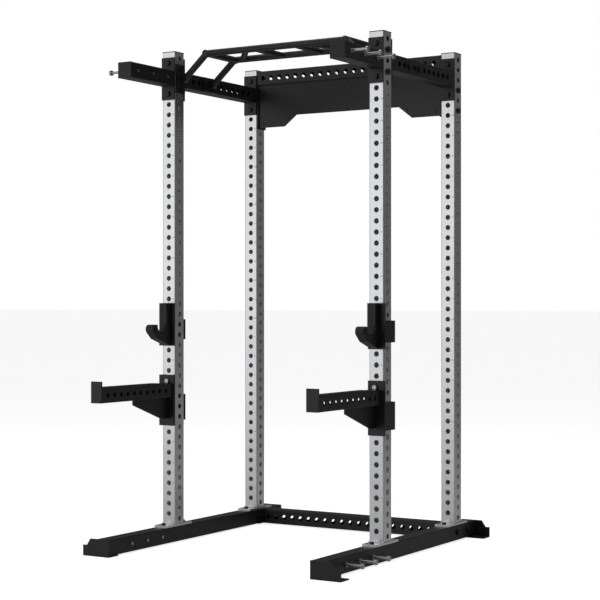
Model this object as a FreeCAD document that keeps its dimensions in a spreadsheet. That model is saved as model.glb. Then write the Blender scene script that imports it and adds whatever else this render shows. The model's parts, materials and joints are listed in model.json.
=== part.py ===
import FreeCAD, Part

import os
import re

import Sketcher
from FreeCAD import Placement, Rotation, Vector

# A power cage: four holed uprights on two base rails, tied at the back and the top, with a
# pull-up bar, two J-cups and two spotter arms. Millimetres, +Z up, the front towards -Y.
# Y is measured from the middle of the four uprights and shifted by CAGE_Y, so that the
# origin is under the middle of the whole object. The +X half is drawn, and mirrored.

SIZES = {
    "cage_width": 1153,
    "cage_depth": 735,
    "tube_side": 75,
    "tube_wall": 3,
    "tube_corner": 5,
    "upright_top": 2396,
    "cap_lip": 4,
    "cap_plug": 12,
    "cap_gap": 0.5,
    "hole_size": 25,
    "hole_pitch": 50,
    "hole_margin": 20,
    "side_hole_start": 25.7,
    "rail_front": 926,
    "rail_rear": 575,
    "rail_lift": 6,
    "foot_end": 6,
    "foot_width": 150,
    "foot_tab": 22,
    "foot_slope": 21,
    "foot_tab_height": 50,
    "foot_depth": 67,
    "anchor_hole": 14,
    "foot_plate": 10,
    "foot_plate_length": 210,
    "foot_bolt_span": 160,
    "foot_bolt": 12,
    "foot_bolt_reach": 30,
    "peg_reach": 87,
    "peg_shaft": 12,
    "peg_head": 25,
    "peg_head_thick": 10,
    "peg_collar": 22,
    "peg_collar_thick": 6,
    "peg_nut": 15,
    "peg_nut_thick": 4,
    "peg_pitch": 120,
    "base_peg_ahead": 750,
    "top_peg_ahead": 705,
    "peg_clearance": 1,
    "flange_plate": 8,
    "flange_overhang": 28,
    "bolt_shank": 16,
    "bolt_clearance": 1,
    "bolt_head": 28,
    "bolt_head_thick": 10,
    "lower_cross_behind": 417.5,
    "lower_flange_length": 155,
    "lower_bolt_span": 110,
    "upper_cross_drop": 42,
    "panel_sheet": 3,
    "panel_recess": 10,
    "panel_lip": 32,
    "panel_drop": 222.5,
    "panel_middle_drop": 165.5,
    "panel_notch_top": 299,
    "panel_notch_bottom": 373,
    "screw_head": 12,
    "screw_head_thick": 3,
    "screw_shank": 5,
    "extension_reach": 759,
    "bar_tube": 32,
    "grip_tube": 30,
    "bar_weld": 1,
    "bar_bend": 390,
    "bar_foot_in": 18,
    "front_bar_ahead": 350,
    "rear_bar_ahead": 105,
    "angled_grip_front": 160,
    "angled_grip_rear": 340,
    "neutral_grip": 110,
    "bar_foot_width": 70,
    "bar_bolt": 12,
    "bar_bolt_head": 18,
    "clip_gap": 4,
    "clip_plate": 8,
    "clip_pin_clearance": 1,
    "clip_pin_reach": 18,
    "cup_slack": 0.2,
    "cup_hole": 19,
    "cup_width": 40,
    "cup_cheek": 6,
    "cup_strip": 38,
    "cup_seat": 32,
    "cup_proud": 4,
    "cup_tip": 22,
    "cup_screw": 8,
    "cup_screw_head": 14,
    "arm_hole": 11,
    "arm_width": 60,
    "arm_height": 70,
    "arm_wall": 4,
    "arm_reach": 970,
    "arm_end_height": 100,
    "arm_row_pitch": 50,
    "arm_row_size": 20,
    "arm_row_start": 42,
    "arm_strip_width": 50,
    "arm_strip_thick": 3,
    "arm_strip_start": 95,
    "arm_strip_end": 5,
    "gusset_plate": 8,
    "gusset_reach": 277,
    "gusset_heel": 50,
    "gusset_drop": 103,
    "gusset_nose": 24,
    "lock_pin": 16,
    "lock_pin_clearance": 1,
    "lock_pin_reach": 67,
    "lock_pin_head": 21,
    "lock_pin_head_thick": 10,
}

doc = FreeCAD.newDocument("power_cage")
sheet = doc.addObject("Spreadsheet::Sheet", "Sizes")
for row, (alias, value) in enumerate(SIZES.items(), start=1):
    sheet.set(f"A{row}", alias)
    sheet.set(f"B{row}", str(value))
    sheet.setAlias(f"B{row}", alias)
doc.recompute()

NODES = {}

# Places worked out from the sizes, as expressions.
CAGE_Y = "((arm_reach - rail_rear) / 2)"
POST_X = "(cage_width / 2)"
FRONT = "(-cage_depth / 2)"
REAR = "(cage_depth / 2)"
INNER_X = "(cage_width / 2 - tube_side / 2)"
OUTER_X = "(cage_width / 2 + tube_side / 2)"
RAIL_Z = "(rail_lift + tube_side / 2)"
RAIL_TOP = "(rail_lift + tube_side)"
POST_FOOT = f"({RAIL_TOP} + foot_plate)"
POST_LENGTH = f"(upright_top - {POST_FOOT})"
BOLT_HOLE = "(bolt_shank + bolt_clearance)"
PEG_HOLE = "(peg_shaft + peg_clearance)"
LAST_SIDE = f"floor(({POST_LENGTH} - side_hole_start - hole_margin) / hole_pitch)"
LAST_FRONT = f"floor(({POST_LENGTH} - side_hole_start - hole_pitch / 2 - hole_margin) / hole_pitch)"


def side_hole(number):
    """The height of a hole in the uprights' side faces, counted from 0."""
    return f"({POST_FOOT} + side_hole_start + hole_pitch * ({number}))"


def front_hole(number):
    """The height of a hole in the uprights' front and back faces, half a pitch up."""
    return f"({side_hole(number)} + hole_pitch / 2)"


TOP_Z = side_hole(f"{LAST_SIDE} - 2")
UPPER_Z = "(upright_top - upper_cross_drop)"
CLIP_FACE = "(cage_depth / 2 + tube_side / 2 + clip_gap + clip_plate)"
CUP_Z = side_hole("cup_hole")
ARM_Z = side_hole("arm_hole")

TURNS = {
    "X": Rotation(Vector(0, 1, 0), 90),
    "Y": Rotation(Vector(1, 0, 0), -90),
    "Z": Rotation(),
}


def sized(text):
    """An expression with each size's name pointed at the sheet."""
    def point(match):
        return f"Sizes.{match[0]}" if match[0] in SIZES else match[0]

    return re.sub(r"[a-z][a-z_]*", point, text)


def bind(thing, **expressions):
    for name, text in expressions.items():
        thing.setExpression(name, sized(text))


def place(thing, at):
    for axis, text in zip("xyz", (at[0], f"({at[1]}) + {CAGE_Y}", at[2])):
        thing.setExpression(f"Placement.Base.{axis}", sized(text))


def moved(at, axis, amount):
    """The point at, moved along one axis."""
    return [f"({text}) + ({amount})" if name == axis else text for name, text in zip("XYZ", at)]


def box(centre, size):
    thing = doc.addObject("Part::Box", "box")
    bind(thing, Length=size[0], Width=size[1], Height=size[2])
    place(thing, [f"({c}) - ({s}) / 2" for c, s in zip(centre, size)])
    return thing


def rod(axis, start, length, diameter):
    """A round bar from start, towards the positive end of an axis."""
    thing = doc.addObject("Part::Cylinder", "rod")
    bind(thing, Radius=f"({diameter}) / 2", Height=length)
    thing.Placement = Placement(Vector(), TURNS[axis])
    place(thing, start)
    return thing


def hexagon(axis, start, length, corners):
    thing = doc.addObject("Part::Prism", "hexagon")
    thing.Polygon = 6
    bind(thing, Circumradius=f"({corners}) / 2", Height=length)
    thing.Placement = Placement(Vector(), TURNS[axis])
    place(thing, start)
    return thing


def strut(start, end, diameter):
    """A round bar between two points that aren't one above the other."""
    run = [f"(({b}) - ({a}))" for a, b in zip(start, end)]
    length = f"sqrt({run[0]}^2 + {run[1]}^2 + {run[2]}^2)"
    thing = doc.addObject("Part::Cylinder", "strut")
    bind(thing, Radius=f"({diameter}) / 2", Height=length)
    base = f"vector({start[0]}; ({start[1]}) + {CAGE_Y}; {start[2]})"
    turn = f"rotation(vector(0 - {run[1]}; {run[0]}; 0); acos({run[2]} / {length}))"
    bind(thing, Placement=f"placement({base}; {turn})")
    return thing


def fuse(shapes):
    thing = doc.addObject("Part::MultiFuse", "fuse")
    thing.Shapes = shapes
    thing.Refine = True
    return thing


def group(shapes):
    thing = doc.addObject("Part::Compound", "group")
    thing.Links = shapes
    return thing


def cut(base, tools):
    thing = doc.addObject("Part::Cut", "cut")
    thing.Base = base
    thing.Tool = tools[0] if len(tools) == 1 else group(tools)
    return thing


def mirror(source):
    thing = doc.addObject("Part::Mirroring", "mirror")
    thing.Source = source
    thing.Base = Vector(0, 0, 0)
    thing.Normal = Vector(1, 0, 0)
    return thing


def node(label, thing):
    """Names a finished sub-part."""
    thing.Label = label
    NODES[label] = thing
    return thing


def pair(name, thing):
    """A right-hand sub-part and its mirror image."""
    node(f"{name}_right", thing)
    node(f"{name}_left", mirror(thing))


def both(name, thing):
    """The same two, as one sub-part."""
    node(name, group([thing, mirror(thing)]))


def outline(points, turn, start, direction, depth):
    """A straight-sided shape pushed along direction. Its points count from the start point."""
    sketch = doc.addObject("Sketcher::SketchObject", "outline")
    count = len(points)
    around = Rotation(Vector(0, 0, 1), 360 / count)
    spoke = Vector(100, 0, 0)
    corners = []
    for _ in points:
        corners.append(Vector(200, 200, 0) + spoke)
        spoke = around.multVec(spoke)
    for index in range(count):
        sketch.addGeometry(Part.LineSegment(corners[index], corners[(index + 1) % count]), False)
    for index, (along, up) in enumerate(points):
        sketch.addConstraint(Sketcher.Constraint("Coincident", index, 2, (index + 1) % count, 1))
        for kind, axis, text, now in (
            ("DistanceX", -2, along, corners[index].x),
            ("DistanceY", -1, up, corners[index].y),
        ):
            if text == "0":
                sketch.addConstraint(Sketcher.Constraint("PointOnObject", index, 1, axis))
                continue
            at = sketch.addConstraint(Sketcher.Constraint(kind, -1, 1, index, 1, now))
            sketch.setExpression(f"Constraints[{at}]", sized(text))
    sketch.Placement = Placement(Vector(), turn)
    place(sketch, start)
    solid = doc.addObject("Part::Extrusion", "plate")
    solid.Base = sketch
    solid.DirMode = "Custom"
    solid.Dir = direction
    solid.Solid = True
    bind(solid, LengthFwd=depth)
    return solid


def side_outline(points, left, width):
    """Points as (ahead of the cage's middle, height), pushed along +X from left."""
    turn = Rotation(Vector(0, -1, 0), Vector(0, 0, 1), Vector(-1, 0, 0), "ZXY")
    return outline(points, turn, (left, "0", "0"), Vector(1, 0, 0), width)


def front_outline(points, near, depth):
    """Points as (X, height), pushed along +Y from near."""
    turn = Rotation(Vector(1, 0, 0), 90)
    return outline(points, turn, ("0", near, "0"), Vector(0, 1, 0), depth)


def rectangle(sketch, width, height, half):
    """A rectangle about the sketch's origin."""
    corners = [Vector(x * half, y * half, 0) for x, y in ((-1, -1), (1, -1), (1, 1), (-1, 1))]
    first = sketch.GeometryCount
    for index in range(4):
        sketch.addGeometry(Part.LineSegment(corners[index], corners[(index + 1) % 4]), False)
    for index in range(4):
        after = first + (index + 1) % 4
        sketch.addConstraint(Sketcher.Constraint("Coincident", first + index, 2, after, 1))
        level = "Horizontal" if index % 2 == 0 else "Vertical"
        sketch.addConstraint(Sketcher.Constraint(level, first + index))
    sketch.addConstraint(Sketcher.Constraint("Symmetric", first, 1, first + 1, 2, -1, 1))
    for kind, line, text in (("DistanceX", first, width), ("DistanceY", first + 1, height)):
        at = sketch.addConstraint(Sketcher.Constraint(kind, line, 1, line, 2, half * 2))
        sketch.setExpression(f"Constraints[{at}]", sized(text))


def drill(body, planes, section, across, first, count, pitch, size):
    """A row of round holes right through a tube, across its own X or Y."""
    thickness = section[0] if across == "X" else section[1]
    sketch = body.newObject("Sketcher::SketchObject", "hole")
    sketch.AttachmentSupport = (planes["YZ_Plane" if across == "X" else "XZ_Plane"], [""])
    sketch.MapMode = "FlatFace"
    sketch.setExpression("AttachmentOffset.Base.z", sized(f"({thickness}) / 2 + 1"))
    sketch.addGeometry(Part.Circle(Vector(0, 50, 0), Vector(0, 0, 1), 10), False)
    sketch.addConstraint(Sketcher.Constraint("PointOnObject", 0, 3, -2))
    for kind, text in (("DistanceY", first), ("Diameter", size)):
        near = (-1, 1, 0, 3, 50) if kind == "DistanceY" else (0, 20)
        at = sketch.addConstraint(Sketcher.Constraint(kind, *near))
        sketch.setExpression(f"Constraints[{at}]", sized(text))
    before = body.Tip.Shape.Volume
    pocket = body.newObject("PartDesign::Pocket", "pocket")
    pocket.Profile = sketch
    bind(pocket, Length=f"({thickness}) + 2")
    doc.recompute()
    if pocket.Shape.isNull() or pocket.Shape.Volume > before - 1:
        pocket.Reversed = True
        doc.recompute()
    body.Tip = pocket
    if count == "1":
        return
    pattern = body.newObject("PartDesign::LinearPattern", "row")
    pattern.Originals = [pocket]
    pattern.Direction = (sketch, ["V_Axis"])
    bind(pattern, Length=f"({pitch}) * (({count}) - 1)", Occurrences=count)
    body.Tip = pattern
    doc.recompute()


def tube(axis, start, length, rows=(), section=("tube_side", "tube_side"), wall="tube_wall"):
    """A rectangular tube along an axis, from start, with rows of holes."""
    body = doc.addObject("PartDesign::Body", "tube")
    planes = {feature.Role: feature for feature in body.Origin.OriginFeatures}
    sketch = body.newObject("Sketcher::SketchObject", "section")
    sketch.AttachmentSupport = (planes["XY_Plane"], [""])
    sketch.MapMode = "FlatFace"
    rectangle(sketch, section[0], section[1], 40)
    rectangle(sketch, f"{section[0]} - 2 * {wall}", f"{section[1]} - 2 * {wall}", 30)
    pad = body.newObject("PartDesign::Pad", "pad")
    pad.Profile = sketch
    bind(pad, Length=length)
    doc.recompute()
    reach = pad.Shape.BoundBox.XMax
    corners = []
    for index, edge in enumerate(pad.Shape.Edges, start=1):
        box_of = edge.BoundBox
        if box_of.ZLength > 1 and abs(abs(box_of.Center.x) - reach) < 0.01:
            corners.append(f"Edge{index}")
    fillet = body.newObject("PartDesign::Fillet", "corners")
    fillet.Base = (pad, corners)
    bind(fillet, Radius="tube_corner")
    body.Tip = fillet
    doc.recompute()
    for row_of in rows:
        drill(body, planes, section, *row_of)
    body.Placement = Placement(Vector(), TURNS[axis])
    place(body, start)
    return body


def bolt(axis, start, grip):
    """A hexagon bolt with its nut, round a stack of plates from start."""
    low = moved(start, axis, "-bolt_head_thick")
    return fuse([
        rod(axis, start, grip, "bolt_shank"),
        hexagon(axis, low, "bolt_head_thick", "bolt_head"),
        hexagon(axis, moved(start, axis, grip), "bolt_head_thick", "bolt_head"),
    ])


def add_uprights():
    rows = (
        ("Y", "side_hole_start + hole_pitch / 2", f"{LAST_FRONT} + 1", "hole_pitch", "hole_size"),
        ("X", "side_hole_start", f"{LAST_SIDE} + 1", "hole_pitch", "hole_size"),
    )
    plug = "tube_side - 2 * tube_wall - 2 * cap_gap"
    bolts = []
    for name, y in (("front", FRONT), ("rear", REAR)):
        pair(f"upright_{name}", tube("Z", (POST_X, y, POST_FOOT), POST_LENGTH, rows))
        lip = box((POST_X, y, "upright_top + cap_lip / 2"), ("tube_side", "tube_side", "cap_lip"))
        stem = box((POST_X, y, "upright_top - cap_plug / 2"), (plug, plug, "cap_plug"))
        pair(f"upright_cap_{name}", fuse([lip, stem]))
        foot = box(
            (POST_X, y, f"{RAIL_TOP} + foot_plate / 2"),
            ("tube_side", "foot_plate_length", "foot_plate"),
        )
        holes = []
        for side in (-1, 1):
            at = (POST_X, f"{y} + {side} * foot_bolt_span / 2", f"{POST_FOOT} - foot_bolt_reach")
            holes.append(rod("Z", at, "foot_bolt_reach + 1", "foot_bolt + bolt_clearance"))
            head = moved(at, "Z", "foot_bolt_reach")
            bolts.append(fuse([
                rod("Z", at, "foot_bolt_reach", "foot_bolt"),
                hexagon("Z", head, "foot_bolt * 0.7", "foot_bolt * 1.8"),
            ]))
        pair(f"foot_plate_{name}", cut(foot, holes))
    both("foot_bolts", group(bolts))


def peg(y, z):
    """A band peg through a tube, with a small head on the tube's inner face."""
    return fuse([
        rod("X", (INNER_X, y, z), "tube_side + peg_reach - peg_head_thick", "peg_shaft"),
        rod("X", (f"{OUTER_X} + peg_reach - peg_head_thick", y, z), "peg_head_thick", "peg_head"),
        rod("X", (OUTER_X, y, z), "peg_collar_thick", "peg_collar"),
        rod("X", (f"{INNER_X} - peg_nut_thick", y, z), "peg_nut_thick", "peg_nut"),
    ])


def add_base():
    front_end = "(rail_front - foot_end)"
    peg_row = ("X", f"{front_end} - base_peg_ahead", "3", "peg_pitch", PEG_HOLE)
    cross_row = (
        "X", f"{front_end} + lower_cross_behind - lower_bolt_span / 2", "2",
        "lower_bolt_span", BOLT_HOLE,
    )
    rows = [peg_row, cross_row]
    for y in (FRONT, REAR):
        first = f"{front_end} + {y} - foot_bolt_span / 2"
        rows.append(("Y", first, "2", "foot_bolt_span", "foot_bolt + bolt_clearance"))
    start = (POST_X, f"-{front_end}", RAIL_Z)
    pair("base_rail", tube("Y", start, "rail_front + rail_rear - 2 * foot_end", rows))
    tab = "foot_width - foot_tab"
    points = [
        (INNER_X, "0"),
        (f"{INNER_X} + foot_width", "0"),
        (f"{INNER_X} + foot_width", "foot_tab_height"),
        (f"{INNER_X} + {tab}", "foot_tab_height"),
        (f"{INNER_X} + {tab} - foot_slope", RAIL_TOP),
        (INNER_X, RAIL_TOP),
    ]
    middle = f"{INNER_X} + foot_width / 2"
    anchor_x = f"{OUTER_X} + (foot_width - tube_side) / 2"
    for name, near, sole_y in (
        ("front", "-rail_front", "-rail_front + foot_end + foot_depth / 2"),
        ("rear", "rail_rear - foot_end", "rail_rear - foot_end - foot_depth / 2"),
    ):
        plate = front_outline(points, near, "foot_end")
        sole = box((middle, sole_y, "rail_lift / 2"), ("foot_width", "foot_depth", "rail_lift"))
        hole = rod("Z", (anchor_x, sole_y, "-1"), "rail_lift + 2", "anchor_hole")
        pair(f"rail_foot_{name}", group([plate, cut(sole, [hole])]))
    pegs = [peg(f"-base_peg_ahead + {i} * peg_pitch", RAIL_Z) for i in range(3)]
    pair("base_pegs", group(pegs))


def cross_tube(y, z):
    """A tube between the two sides, with a row of holes either way from its middle."""
    half = f"({INNER_X} - flange_plate)"
    steps = f"floor(({half} - hole_size) / hole_pitch)"
    row = ("Y", f"{half} - {steps} * hole_pitch", f"2 * {steps} + 1", "hole_pitch", "hole_size")
    return tube("X", (f"-{half}", y, z), f"2 * {half}", [row])


def add_crossmembers():
    flange_x = f"({INNER_X} - flange_plate / 2)"
    head_x = f"({INNER_X} - flange_plate)"
    grip = "flange_plate + tube_side"
    low = box(
        (flange_x, "lower_cross_behind", RAIL_Z), ("flange_plate", "lower_flange_length", "tube_side")
    )
    low_at = [
        (head_x, f"lower_cross_behind + {side} * lower_bolt_span / 2", RAIL_Z) for side in (-1, 1)
    ]
    low = cut(low, [rod("X", moved(at, "X", "-1"), "flange_plate + 2", BOLT_HOLE) for at in low_at])
    node("lower_crossmember", group([cross_tube("lower_cross_behind", RAIL_Z), low, mirror(low)]))
    top = f"({UPPER_Z} + tube_side / 2)"
    bottom = f"({side_hole(f'{LAST_SIDE} - 5')} - flange_overhang)"
    high = box(
        (flange_x, REAR, f"({top} + {bottom}) / 2"), ("flange_plate", "tube_side", f"{top} - {bottom}")
    )
    high_at = [(head_x, REAR, side_hole(f"{LAST_SIDE} - {number}")) for number in (5, 3)]
    high = cut(high, [rod("X", moved(at, "X", "-1"), "flange_plate + 2", BOLT_HOLE) for at in high_at])
    node("upper_crossmember", group([cross_tube(REAR, UPPER_Z), high, mirror(high)]))
    both("lower_cross_bolts", group([bolt("X", at, grip) for at in low_at]))
    both("upper_cross_bolts", group([bolt("X", at, grip) for at in high_at]))


def add_panel():
    under = f"({UPPER_Z} - tube_side / 2)"
    end = f"({INNER_X} - flange_plate)"
    near = "(cage_depth / 2 - tube_side / 2 + panel_recess)"
    points = [
        ("0", f"{under} - panel_middle_drop"),
        ("panel_notch_top", f"{under} - panel_middle_drop"),
        ("panel_notch_bottom", f"{under} - panel_drop"),
        (end, f"{under} - panel_drop"),
        (end, under),
        ("0", under),
    ]
    half = front_outline(points, near, "panel_sheet")
    lip = box(
        ("0", f"{near} + panel_lip / 2", f"{under} - panel_sheet / 2"),
        (f"2 * {end}", "panel_lip", "panel_sheet"),
    )
    places = [
        ("0", "11.5"), ("258", "11.5"), ("511", "11.5"),
        ("0", "151"), ("344", "179"), ("507", "198"),
    ]
    holes = []
    screws = []
    for x, drop in places:
        for side in (-1, 1) if x != "0" else (1,):
            at = (f"{side} * {x}", near, f"{under} - {drop}")
            holes.append(rod("Y", moved(at, "Y", "-1"), "panel_sheet + 2", "screw_shank + 0.5"))
            screws.append(fuse([
                rod("Y", at, "panel_sheet + 1", "screw_shank"),
                rod("Y", moved(at, "Y", "-screw_head_thick"), "screw_head_thick", "screw_head"),
            ]))
    node("rear_panel", cut(fuse([half, mirror(half), lip]), holes))
    node("panel_screws", group(screws))


def top_flange(y):
    """The bolted plate at an end of a top rail or a front extension."""
    height = "3 * hole_pitch + 2 * flange_overhang"
    plate = box((POST_X, y, TOP_Z), ("tube_side", "flange_plate", height))
    holes = []
    for side in (-1, 1):
        at = (POST_X, f"{y} - flange_plate", f"{TOP_Z} + {side} * 1.5 * hole_pitch")
        holes.append(rod("Y", at, "2 * flange_plate", BOLT_HOLE))
    return cut(plate, holes)


def add_top():
    half = "(cage_depth / 2 - tube_side / 2)"
    length = f"(2 * {half} - 2 * flange_plate)"
    steps = "floor((cage_depth / 2 - tube_side - hole_size) / hole_pitch)"
    row = ("X", f"{length} / 2 - {steps} * hole_pitch", f"2 * {steps} + 1", "hole_pitch", "hole_size")
    pair("top_rail", group([
        tube("Y", (POST_X, f"-{half} + flange_plate", TOP_Z), length, [row]),
        top_flange(f"-{half} + flange_plate / 2"),
        top_flange(f"{half} - flange_plate / 2"),
    ]))
    face = "(cage_depth / 2 + tube_side / 2)"
    tip = "(extension_reach - cap_lip)"
    row = ("X", f"{tip} - top_peg_ahead", "3", "peg_pitch", PEG_HOLE)
    pair("front_extension", group([
        tube("Y", (POST_X, f"-{tip}", TOP_Z), f"{tip} - {face} - flange_plate", [row]),
        top_flange(f"-{face} - flange_plate / 2"),
    ]))
    plug = "tube_side - 2 * tube_wall - 2 * cap_gap"
    pair("extension_cap", fuse([
        box((POST_X, f"-{tip} - cap_lip / 2", TOP_Z), ("tube_side", "cap_lip", "tube_side")),
        box((POST_X, f"-{tip} + cap_plug / 2", TOP_Z), (plug, "cap_plug", plug)),
    ]))
    pegs = [peg(f"-top_peg_ahead + {i} * peg_pitch", TOP_Z) for i in range(3)]
    pair("top_pegs", group(pegs))
    bolts = []
    for side in (-1, 1):
        z = f"{TOP_Z} + {side} * 1.5 * hole_pitch"
        grip = "tube_side + flange_plate"
        bolts.append(bolt("Y", (POST_X, f"-{face} - flange_plate", z), f"{grip} + flange_plate"))
        bolts.append(bolt("Y", (POST_X, f"{half} - flange_plate", z), grip))
    both("top_bolts", group(bolts))


def add_pull_up_bar():
    bar_z = "(upright_top + cap_lip - (bar_tube + bar_weld) / 2)"
    front_bar = "-front_bar_ahead"
    rear = "-rear_bar_ahead"
    rear_plate = "-2 * hole_pitch"
    foot_x = f"({INNER_X} - bar_foot_in)"
    plate_x = f"({INNER_X} - flange_plate / 2)"
    knuckle = "(bar_tube + bar_weld)"
    gap = f"({rear} - ({front_bar}))"
    pieces = []
    for y in (front_bar, rear):
        pieces.append(rod("X", ("-bar_bend", y, bar_z), "2 * bar_bend", "bar_tube"))
        for side in (-1, 1):
            foot = (f"{side} * {foot_x}", y, TOP_Z)
            pieces.append(strut(foot, (f"{side} * bar_bend", y, bar_z), "bar_tube"))
            pieces.append(rod("Y", moved(foot, "Y", f"-{knuckle} / 2"), knuckle, knuckle))
    for side in (-1, 1):
        spreader = (f"{side} * bar_bend", f"{front_bar} - {knuckle} / 2", bar_z)
        pieces.append(rod("Y", spreader, f"{gap} + {knuckle}", knuckle))
        pieces.append(rod("Y", (f"{side} * neutral_grip", front_bar, bar_z), gap, "grip_tube"))
        pieces.append(strut(
            (f"{side} * angled_grip_front", front_bar, bar_z),
            (f"{side} * angled_grip_rear", rear, bar_z),
            "grip_tube",
        ))
    front_at = [
        (f"{INNER_X} - flange_plate", FRONT, f"{TOP_Z} + {side} * hole_pitch") for side in (-1, 1)
    ]
    rear_at = [
        (f"{INNER_X} - flange_plate", f"{rear_plate} + {side} * hole_pitch", TOP_Z) for side in (-1, 1)
    ]
    front = box((plate_x, FRONT, TOP_Z), ("flange_plate", "bar_foot_width", "2 * hole_pitch + 40"))
    back = box((plate_x, rear_plate, TOP_Z), ("flange_plate", "2 * hole_pitch + 40", "bar_foot_width"))
    hole = "bar_bolt + bolt_clearance"
    for plate, places in ((front, front_at), (back, rear_at)):
        holes = [rod("X", moved(at, "X", "-1"), "flange_plate + 2", hole) for at in places]
        drilled = cut(plate, holes)
        pieces.extend([drilled, mirror(drilled)])
    node("pull_up_bar", fuse(pieces))
    bolts = []
    for at in front_at + rear_at:
        grip = "flange_plate + tube_side"
        bolts.append(fuse([
            rod("X", moved(at, "X", "-flange_plate"), f"{grip} + 2 * flange_plate", "bar_bolt"),
            rod("X", moved(at, "X", "-flange_plate"), "flange_plate", "bar_bolt_head"),
            rod("X", moved(at, "X", grip), "flange_plate", "bar_bolt_head + 12"),
        ]))
    both("pull_up_bolts", group(bolts))


def clip(z, plate_middle, plate_height, side_middle, side_height):
    """The bracket that grips an upright from outside, with a pin for a side hole."""
    side_x = f"{OUTER_X} + clip_gap + clip_plate / 2"
    wrap = "tube_side + 2 * (clip_gap + clip_plate)"
    back_y = f"{FRONT} + tube_side / 2 + clip_gap + clip_plate / 2"
    side_z = f"{z} + {side_middle}"
    return [
        box(
            (
                f"{POST_X} + (clip_gap + clip_plate) / 2",
                f"-{CLIP_FACE} + clip_plate / 2",
                f"{z} + {plate_middle}",
            ),
            ("tube_side + clip_gap + clip_plate", "clip_plate", plate_height),
        ),
        box((side_x, FRONT, side_z), ("clip_plate", wrap, side_height)),
        box(
            (f"{POST_X} + (clip_gap + clip_plate) / 2", back_y, side_z),
            ("tube_side + clip_gap + clip_plate", "clip_plate", side_height),
        ),
        rod(
            "X", (f"{OUTER_X} + clip_gap - clip_pin_reach", FRONT, z),
            "clip_pin_reach", "hole_size - clip_pin_clearance",
        ),
    ]


def liner(z, plate_middle, plate_height, side_middle, side_height, slack):
    """Plastic sheets between a bracket and its upright, on the front and the outer face."""
    thick = f"(clip_gap - {slack})"
    front_y = f"-{CLIP_FACE} + clip_plate + {thick} / 2"
    side_x = f"{OUTER_X} + clip_gap - {thick} / 2"
    front = box((POST_X, front_y, f"{z} + {plate_middle}"), ("tube_side", thick, plate_height))
    side = box((side_x, FRONT, f"{z} + {side_middle}"), (thick, "tube_side", side_height))
    hole = rod("X", (f"{OUTER_X} - 1", FRONT, z), "clip_gap + 2", "hole_size")
    return front, cut(side, [hole])


def cup_profile(left, width, seat):
    """The hook of a J-cup, with a round seat for a bar."""
    def ahead(amount):
        return f"{CLIP_FACE} + {amount}"

    def up(amount):
        return f"{CUP_Z} + {amount}"

    points = [
        (ahead("0"), up("-101.7")),
        (ahead("23"), up("-96.7")),
        (ahead("109"), up("-67.7")),
        (ahead("143"), up("-37.7")),
        (ahead("128"), up("0.3")),
        (ahead("0"), up("0.3")),
    ]
    hook = side_outline(points, left, width)
    tip = rod("X", (left, f"-({ahead('128')})", up("-21.7")), width, "2 * cup_tip")
    strip = box(
        (f"{left} + {width} / 2", f"-({ahead('cup_strip / 2')})", up("52")),
        (width, "cup_strip", "104.6"),
    )
    middle = "cup_strip + cup_seat"
    bite = rod("X", (f"{left} - 1", f"-({ahead(middle)})", up("-4.7")), f"{width} + 2", f"2 * {seat}")
    mouth = box(
        (f"{left} + {width} / 2", f"-({ahead(middle)})", up("45.3")),
        (f"{width} + 2", f"2 * {seat}", "100"),
    )
    return cut(fuse([hook, tip]), [fuse([bite, mouth])]), strip


def add_cups():
    left = f"({POST_X} - cup_width / 2)"
    inner = "(cup_width - 2 * cup_cheek)"
    places = [("21", "88.3"), ("21", "-72.7"), ("125", "-21.7")]
    at_left = f"({POST_X} - cup_width / 2 - screw_head_thick)"
    screws = []
    for ahead, up in places:
        at = (at_left, f"-({CLIP_FACE} + {ahead})", f"{CUP_Z} + {up}")
        screws.append(fuse([
            rod("X", at, "cup_width + 2 * screw_head_thick", "cup_screw"),
            rod("X", at, "screw_head_thick", "cup_screw_head"),
            rod(
                "X", moved(at, "X", "cup_width + screw_head_thick"),
                "screw_head_thick", "cup_screw_head",
            ),
        ]))

    def holes():
        bores = []
        for ahead, up in places:
            at = (at_left, f"-({CLIP_FACE} + {ahead})", f"{CUP_Z} + {up}")
            bores.append(rod("X", at, "cup_width + 2 * screw_head_thick", "cup_screw + 0.5"))
        return bores

    cheeks = []
    for start in (left, f"({POST_X} + cup_width / 2 - cup_cheek)"):
        hook, strip = cup_profile(start, "cup_cheek", "(cup_seat + cup_proud)")
        cheeks.append(cut(fuse([hook, strip]), holes()))
    hook, strip = cup_profile(f"({left} + cup_cheek)", inner, "cup_seat")
    pair("j_cup_core", cut(fuse([hook, strip]), holes()))
    pair("j_cup_cheeks", group(cheeks))
    pair("j_cup_screws", group(screws))
    shape = (CUP_Z, "0.3", "208", "-24.2", "99")
    pair("j_cup_bracket", fuse(clip(*shape)))
    pair("j_cup_liner", group(list(liner(*shape, "cup_slack"))))


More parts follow.
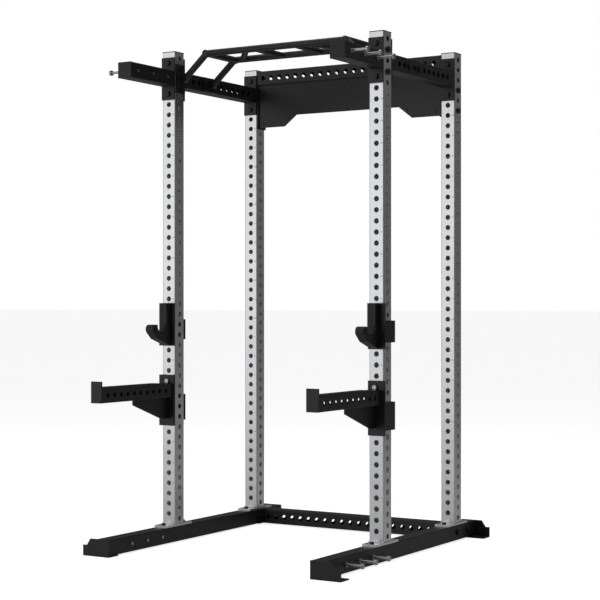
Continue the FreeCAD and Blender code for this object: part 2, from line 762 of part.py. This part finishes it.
def add_arms():
    mid_z = f"{ARM_Z} + 79.3"
    under = f"({mid_z} - arm_height / 2)"
    tip = "(arm_reach - flange_plate)"
    length = f"({tip} - {CLIP_FACE})"
    count = f"floor(({length} - arm_row_start - arm_row_size) / arm_row_pitch) + 1"
    row = ("X", "arm_row_start", count, "arm_row_pitch", "arm_row_size")
    beam = tube(
        "Y", (POST_X, f"-{tip}", mid_z), length, [row], ("arm_width", "arm_height"), "arm_wall"
    )
    end = box(
        (POST_X, f"-{tip} - flange_plate / 2", f"{under} + arm_end_height / 2"),
        ("arm_width", "flange_plate", "arm_end_height"),
    )
    gusset = side_outline(
        [
            (CLIP_FACE, under),
            (CLIP_FACE, f"{under} - gusset_drop"),
            (f"{CLIP_FACE} + gusset_heel", f"{under} - gusset_drop"),
            (f"{CLIP_FACE} + gusset_reach", f"{under} - gusset_nose"),
            (f"{CLIP_FACE} + gusset_reach", under),
        ],
        f"({POST_X} - gusset_plate / 2)", "gusset_plate",
    )
    shape = (ARM_Z, "30.3", "248", "-6.2", "127")
    lock_z = front_hole("arm_hole + 2")
    bore_at = (POST_X, f"-{CLIP_FACE} - 1", lock_z)
    plates = clip(*shape)
    plates[0] = cut(plates[0], [rod("Y", bore_at, "clip_plate + 2", "lock_pin + lock_pin_clearance")])
    pair("spotter_arm_bracket", fuse(plates))
    pair("spotter_arm", group([beam, end, gusset]))
    front, side = liner(*shape, "0")
    bore_at = (POST_X, f"-{CLIP_FACE} + clip_plate - 1", lock_z)
    front = cut(front, [rod("Y", bore_at, "clip_gap + 2", "hole_size")])
    pair("arm_liner", group([front, side]))
    middle = f"-({CLIP_FACE} + arm_strip_start + {tip} - arm_strip_end) / 2"
    pair("arm_strip", box(
        (POST_X, middle, f"{mid_z} + arm_height / 2 + arm_strip_thick / 2"),
        ("arm_strip_width", f"{length} - arm_strip_start - arm_strip_end", "arm_strip_thick"),
    ))
    pair("arm_pin", fuse([
        rod("Y", (POST_X, f"-{CLIP_FACE}", lock_z), "lock_pin_reach", "lock_pin"),
        rod(
            "Y", (POST_X, f"-{CLIP_FACE} - lock_pin_head_thick", lock_z),
            "lock_pin_head_thick", "lock_pin_head",
        ),
    ]))


def check_and_write():
    doc.recompute()
    bad = [
        f"{thing.Label} {thing.State}" for thing in doc.Objects
        if "Invalid" in thing.State or "Error" in thing.State
    ]
    for label, thing in NODES.items():
        if thing.Shape.isNull() or not thing.Shape.isValid() or not thing.Shape.Solids:
            bad.append(f"{label} has no valid solid")
    if bad:
        raise SystemExit("not built: " + "; ".join(bad[:12]))
    os.makedirs("parts", exist_ok=True)
    for label, thing in NODES.items():
        thing.Shape.exportStep(f"parts/{label}.step")


add_uprights()
add_base()
add_crossmembers()
add_panel()
add_top()
add_pull_up_bar()
add_cups()
add_arms()
check_and_write()
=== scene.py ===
# %% [markdown]
# This lesson dresses a power cage: silver square uprights with rows of holes, and black
# powder-coated rails, arms and bars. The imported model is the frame, and it already has the
# right shapes, so most of the work here is materials, small pieces, light and a camera.

import json
import math

import bpy
from mathutils import Matrix, Vector


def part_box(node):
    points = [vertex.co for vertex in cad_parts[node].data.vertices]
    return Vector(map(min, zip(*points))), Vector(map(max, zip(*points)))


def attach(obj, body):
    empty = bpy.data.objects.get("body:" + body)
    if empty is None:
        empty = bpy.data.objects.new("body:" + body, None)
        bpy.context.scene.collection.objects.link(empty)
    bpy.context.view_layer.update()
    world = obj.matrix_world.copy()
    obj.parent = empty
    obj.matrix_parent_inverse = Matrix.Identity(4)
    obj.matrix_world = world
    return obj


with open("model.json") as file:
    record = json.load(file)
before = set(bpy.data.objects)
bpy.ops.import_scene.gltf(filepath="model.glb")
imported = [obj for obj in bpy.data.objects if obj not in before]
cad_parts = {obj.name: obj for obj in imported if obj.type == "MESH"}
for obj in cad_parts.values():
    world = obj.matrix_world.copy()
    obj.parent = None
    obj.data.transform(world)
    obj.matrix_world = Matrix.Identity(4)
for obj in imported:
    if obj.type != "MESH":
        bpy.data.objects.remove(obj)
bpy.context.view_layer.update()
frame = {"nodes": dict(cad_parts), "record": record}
nodes = frame["nodes"]

# %% [markdown]
# The middle of the four uprights is a handy place to measure from. It is found from the
# uprights' own boxes, so nothing here has to be changed when the cage is.

# %% Where the cage stands
FRONT_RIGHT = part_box("upright_front_right")
REAR_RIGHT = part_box("upright_rear_right")
CAGE_MIDDLE_Y = (FRONT_RIGHT[0][1] + REAR_RIGHT[1][1]) / 2
POST_X = (FRONT_RIGHT[0][0] + FRONT_RIGHT[1][0]) / 2
POST_SIDE = FRONT_RIGHT[1][0] - FRONT_RIGHT[0][0]
POST_FOOT = FRONT_RIGHT[0][2]
HOLE_PITCH = 0.05
FIRST_FRONT_HOLE = POST_FOOT + 0.0507
print("cage middle y", round(CAGE_MIDDLE_Y, 4), "upright x", round(POST_X, 4))

# %% [markdown]
# Every real finish varies a little, both finely and broadly. A steel tube is brushed along
# its length, powder coat has a fine orange-peel, and hands and dust leave broad patches.
# One node group makes both scales of variation, and each material stretches it its own way.

# %% A group for fine and broad variation
def new_group(name, inputs, outputs):
    group = bpy.data.node_groups.new(name, "ShaderNodeTree")
    for label, kind, value in inputs:
        socket = group.interface.new_socket(name=label, in_out="INPUT", socket_type=kind)
        socket.default_value = value
    for label in outputs:
        group.interface.new_socket(name=label, in_out="OUTPUT", socket_type="NodeSocketFloat")
    return group, group.nodes.new("NodeGroupInput"), group.nodes.new("NodeGroupOutput")


def build_variation():
    group, source, result = new_group(
        "surface_variation",
        [
            ("Stretch", "NodeSocketVector", (1, 1, 1)),
            ("Fine Scale", "NodeSocketFloat", 600),
            ("Broad Scale", "NodeSocketFloat", 6),
        ],
        ["Fine", "Broad"],
    )
    place = group.nodes.new("ShaderNodeTexCoord")
    stretch = group.nodes.new("ShaderNodeMapping")
    group.links.new(place.outputs["Object"], stretch.inputs["Vector"])
    group.links.new(source.outputs["Stretch"], stretch.inputs["Scale"])
    for label, detail in (("Fine", 3), ("Broad", 5)):
        noise = group.nodes.new("ShaderNodeTexNoise")
        noise.inputs["Detail"].default_value = detail
        vector = stretch.outputs["Vector"] if label == "Fine" else place.outputs["Object"]
        group.links.new(vector, noise.inputs["Vector"])
        group.links.new(source.outputs[f"{label} Scale"], noise.inputs["Scale"])
        group.links.new(noise.outputs["Fac"], result.inputs[label])
    return group


VARIATION = build_variation()

# %% [markdown]
# A finish is a Principled shader fed by that group: the broad variation moves the colour
# between two shades, the fine one moves the roughness and raises a shallow bump.

# %% A maker of finishes
def finish(name, dark, light, rough, stretch, fine, broad, bump, metallic=0.0, coat=0.0):
    """A material between two shades, with its grain stretched along an axis."""
    material = bpy.data.materials.new(name)
    material.use_nodes = True
    tree = material.node_tree
    shader = tree.nodes["Principled BSDF"]
    shader.inputs["Metallic"].default_value = metallic
    shader.inputs["Coat Weight"].default_value = coat
    grain = tree.nodes.new("ShaderNodeGroup")
    grain.node_tree = VARIATION
    grain.inputs["Stretch"].default_value = stretch
    grain.inputs["Fine Scale"].default_value = fine
    grain.inputs["Broad Scale"].default_value = broad
    shades = tree.nodes.new("ShaderNodeMix")
    shades.data_type = "RGBA"
    colours = [socket for socket in shades.inputs if socket.type == "RGBA"]
    colours[0].default_value = (*dark, 1)
    colours[1].default_value = (*light, 1)
    blend = tree.nodes.new("ShaderNodeMath")
    blend.operation = "MULTIPLY_ADD"
    blend.inputs[1].default_value = 0.4
    tree.links.new(grain.outputs["Fine"], blend.inputs[0])
    soften = tree.nodes.new("ShaderNodeMath")
    soften.operation = "MULTIPLY"
    soften.inputs[1].default_value = 0.6
    tree.links.new(grain.outputs["Broad"], soften.inputs[0])
    tree.links.new(soften.outputs[0], blend.inputs[2])
    tree.links.new(blend.outputs[0], shades.inputs[0])
    colour = [socket for socket in shades.outputs if socket.type == "RGBA"][0]
    tree.links.new(colour, shader.inputs["Base Color"])
    dull = tree.nodes.new("ShaderNodeMapRange")
    dull.inputs["To Min"].default_value = rough[0]
    dull.inputs["To Max"].default_value = rough[1]
    tree.links.new(grain.outputs["Fine"], dull.inputs["Value"])
    tree.links.new(dull.outputs["Result"], shader.inputs["Roughness"])
    raise_by = tree.nodes.new("ShaderNodeBump")
    raise_by.inputs["Strength"].default_value = 0.35
    raise_by.inputs["Distance"].default_value = bump
    tree.links.new(grain.outputs["Fine"], raise_by.inputs["Height"])
    tree.links.new(raise_by.outputs["Normal"], shader.inputs["Normal"])
    return material


# %% [markdown]
# The uprights are steel brushed along their length under a clear coat, so their grain runs
# up and down. Everything black is satin powder coat. Pegs are zinc plated, bolts are black oxide, and
# the wear strips and caps are plain moulded plastic.

# %% The finishes of this cage
BRUSHED = finish(
    "brushed_silver", (0.66, 0.67, 0.68), (0.86, 0.87, 0.88), (0.26, 0.40),
    (1, 1, 0.02), 700, 4, 0.0002, metallic=1.0, coat=0.15,
)
POWDER = finish(
    "black_powder_coat", (0.006, 0.006, 0.0065), (0.016, 0.016, 0.017), (0.34, 0.50),
    (1, 1, 1), 900, 5, 0.0004,
)
ZINC = finish(
    "zinc_plate", (0.34, 0.35, 0.36), (0.58, 0.59, 0.60), (0.25, 0.42),
    (1, 1, 1), 500, 40, 0.0002, metallic=1.0,
)
WEAR = finish(
    "wear_plastic", (0.010, 0.010, 0.011), (0.028, 0.028, 0.030), (0.48, 0.66),
    (1, 1, 1), 700, 20, 0.0005,
)
OXIDE = finish(
    "black_oxide", (0.014, 0.014, 0.015), (0.045, 0.045, 0.048), (0.30, 0.46),
    (1, 1, 1), 600, 60, 0.0002, metallic=0.6,
)
CAP = finish(
    "moulded_cap", (0.012, 0.012, 0.012), (0.022, 0.022, 0.023), (0.42, 0.60),
    (1, 1, 1), 1100, 15, 0.0004,
)
INK = finish(
    "number_ink", (0.10, 0.10, 0.11), (0.16, 0.16, 0.17), (0.5, 0.7),
    (1, 1, 1), 900, 30, 0.0001,
)
BY_SLOT = {
    "silver_steel": BRUSHED,
    "black_powder": POWDER,
    "zinc": ZINC,
    "black_oxide": OXIDE,
    "wear_plastic": WEAR,
    "cap_plastic": CAP,
}
for entry in frame["record"]["subparts"]:
    thing = nodes[entry["node"]]
    thing.data.materials.clear()
    thing.data.materials.append(BY_SLOT[entry["material_slot"]])
print("finishes", len(BY_SLOT) + 1)

# %% [markdown]
# Every second front hole has a small number beside it, so that a lifter can set both sides
# alike. One column of numbers is made from text, turned into a mesh and joined, and the
# other uprights get copies of it, each with its own mesh.

# %% The numbers beside the holes
def deselect():
    bpy.ops.object.select_all(action="DESELECT")


NUMBER_SIZE = 0.011
NUMBER_LIFT = 0.0002
NUMBER_ASIDE = 0.026
NUMBERS = 22


def number_column():
    made = []
    for count in range(NUMBERS):
        deselect()
        height = FIRST_FRONT_HOLE + HOLE_PITCH * (2 * count + 1)
        bpy.ops.object.text_add(
            location=(POST_X + NUMBER_ASIDE, FRONT_RIGHT[0][1], height),
            rotation=(math.pi / 2, 0, 0),
        )
        number = bpy.context.object
        number.data.body = str(count + 1)
        number.data.size = NUMBER_SIZE
        number.data.extrude = NUMBER_LIFT
        number.data.resolution_u = 3
        number.data.align_x = "CENTER"
        number.data.align_y = "CENTER"
        bpy.ops.object.convert(target="MESH")
        made.append(bpy.context.object)
    deselect()
    for number in made:
        number.select_set(True)
    bpy.context.view_layer.objects.active = made[0]
    bpy.ops.object.join()
    bpy.ops.object.transform_apply(location=True, rotation=True, scale=True)
    return bpy.context.object


def shifted_copy(source, name, by):
    """A copy with its own mesh, moved in the mesh, so its object stays at the origin."""
    copy = source.copy()
    copy.data = source.data.copy()
    copy.data.transform(by)
    copy.name = name
    bpy.context.collection.objects.link(copy)
    return copy



column = number_column()
column.name = "numbers_front_right"
column.data.materials.clear()
column.data.materials.append(INK)
back = REAR_RIGHT[0][1] - FRONT_RIGHT[0][1]
columns = [column]
for name, x, y in (
    ("numbers_front_left", -2 * POST_X, 0),
    ("numbers_rear_right", 0, back),
    ("numbers_rear_left", -2 * POST_X, back),
):
    columns.append(shifted_copy(column, name, Matrix.Translation((x, y, 0))))
for piece in columns:
    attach(piece, "cage")
print("numbers", NUMBERS * len(columns))

# %% [markdown]
# Each upright is welded to its foot plate. The weld is a low bead all round the tube: a
# plane a little larger than the tube, inset, with its middle deleted, then extruded up and
# bevelled. Four copies go under the four uprights.

# %% The welds at the uprights' feet
WELD_WIDTH = 0.004
WELD_HEIGHT = 0.004


def foot_weld():
    deselect()
    bpy.ops.mesh.primitive_plane_add(
        size=POST_SIDE + 2 * WELD_WIDTH,
        location=(POST_X, (FRONT_RIGHT[0][1] + FRONT_RIGHT[1][1]) / 2, POST_FOOT),
    )
    bead = bpy.context.object
    bpy.ops.object.mode_set(mode="EDIT")
    bpy.ops.mesh.select_all(action="SELECT")
    bpy.ops.mesh.inset(thickness=WELD_WIDTH)
    bpy.ops.mesh.delete(type="FACE")
    bpy.ops.mesh.select_all(action="SELECT")
    bpy.ops.mesh.extrude_region_move(TRANSFORM_OT_translate={"value": (0, 0, WELD_HEIGHT)})
    bpy.ops.mesh.select_all(action="SELECT")
    bpy.ops.mesh.normals_make_consistent(inside=False)
    bpy.ops.object.mode_set(mode="OBJECT")
    soften = bead.modifiers.new("round", "BEVEL")
    soften.width = WELD_HEIGHT * 0.4
    soften.segments = 2
    bpy.ops.object.modifier_apply(modifier=soften.name)
    bpy.ops.object.transform_apply(location=True, rotation=True, scale=True)
    bead.data.materials.append(BRUSHED)
    return bead


weld = foot_weld()
weld.name = "weld_front_right"
welds = [weld]
for name, x, y in (
    ("weld_front_left", -2 * POST_X, 0),
    ("weld_rear_right", 0, back),
    ("weld_rear_left", -2 * POST_X, back),
):
    welds.append(shifted_copy(weld, name, Matrix.Translation((x, y, 0))))
for piece in welds:
    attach(piece, "cage")
print("welds", len(welds))

# %% [markdown]
# A studio for a silver and black object: a pale floor, and light that the front faces
# mirror while the sides stay dark. Brushed steel shows what it faces, so the light comes
# from the front left, and the room to the right is dimmer.

# %% Floor and light
FLOOR_SIZE = 400
FLOOR_GLOW = 0.82
deselect()
bpy.ops.mesh.primitive_plane_add(size=FLOOR_SIZE, location=(0, 0, 0))
floor = bpy.context.object
floor.name = "studio_floor"
floor_paint = bpy.data.materials.new("studio_floor_paint")
floor_paint.use_nodes = True
floor_shader = floor_paint.node_tree.nodes["Principled BSDF"]
floor_shader.inputs["Base Color"].default_value = (0.92, 0.92, 0.92, 1)
floor_shader.inputs["Roughness"].default_value = 0.9
floor_shader.inputs["Specular IOR Level"].default_value = 0.1
floor_shader.inputs["Emission Color"].default_value = (1, 1, 1, 1)
glow = floor_paint.node_tree.nodes.new("ShaderNodeLightPath")
soften = floor_paint.node_tree.nodes.new("ShaderNodeMath")
soften.operation = "MULTIPLY"
soften.inputs[1].default_value = FLOOR_GLOW
floor_paint.node_tree.links.new(glow.outputs["Is Camera Ray"], soften.inputs[0])
floor_paint.node_tree.links.new(soften.outputs[0], floor_shader.inputs["Emission Strength"])
floor.data.materials.append(floor_paint)


def soft_light(name, at, aim, size, power):
    lamp = bpy.data.lights.new(name, "AREA")
    lamp.shape = "RECTANGLE"
    lamp.size = size[0]
    lamp.size_y = size[1]
    lamp.energy = power
    holder = bpy.data.objects.new(name, lamp)
    holder.location = at
    holder.rotation_euler = (Vector(aim) - Vector(at)).to_track_quat("-Z", "Y").to_euler()
    bpy.context.collection.objects.link(holder)
    return holder


middle = (0, CAGE_MIDDLE_Y, 1.2)
soft_light("key_front_left", (-3.8, -6.4, 1.6), middle, (6, 6), 115)
soft_light("fill_above", (0, 0, 6), middle, (6, 6), 110)

world = bpy.data.worlds.new("studio_air")
bpy.context.scene.world = world
world.use_nodes = True
air = world.node_tree
plain = air.nodes["Background"]
plain.inputs["Color"].default_value = (1, 1, 1, 1)
plain.inputs["Strength"].default_value = 0.12
seen = air.nodes.new("ShaderNodeBackground")
seen.inputs["Color"].default_value = (1, 1, 1, 1)
seen.inputs["Strength"].default_value = 1.0
ray = air.nodes.new("ShaderNodeLightPath")
either = air.nodes.new("ShaderNodeMixShader")
air.links.new(ray.outputs["Is Camera Ray"], either.inputs[0])
air.links.new(plain.outputs[0], either.inputs[1])
air.links.new(seen.outputs[0], either.inputs[2])
air.links.new(either.outputs[0], air.nodes["World Output"].inputs["Surface"])

# %% [markdown]
# The camera stands level in front and to the right of the cage, at chest height and well
# back, with a long lens, so the uprights stay parallel.

# %% Camera
CAMERA_TURN = math.radians(31.253)
lens = bpy.data.cameras.new("camera")
lens.sensor_width = 36
lens.lens = 94.49
lens.shift_y = 0.00467
camera = bpy.data.objects.new("camera", lens)
camera.location = (3.9665, CAGE_MIDDLE_Y - 6.655, 1.1723)
camera.rotation_euler = (math.pi / 2, 0, CAMERA_TURN)
bpy.context.collection.objects.link(camera)
bpy.context.scene.camera = camera
bpy.context.scene.view_settings.view_transform = "Standard"
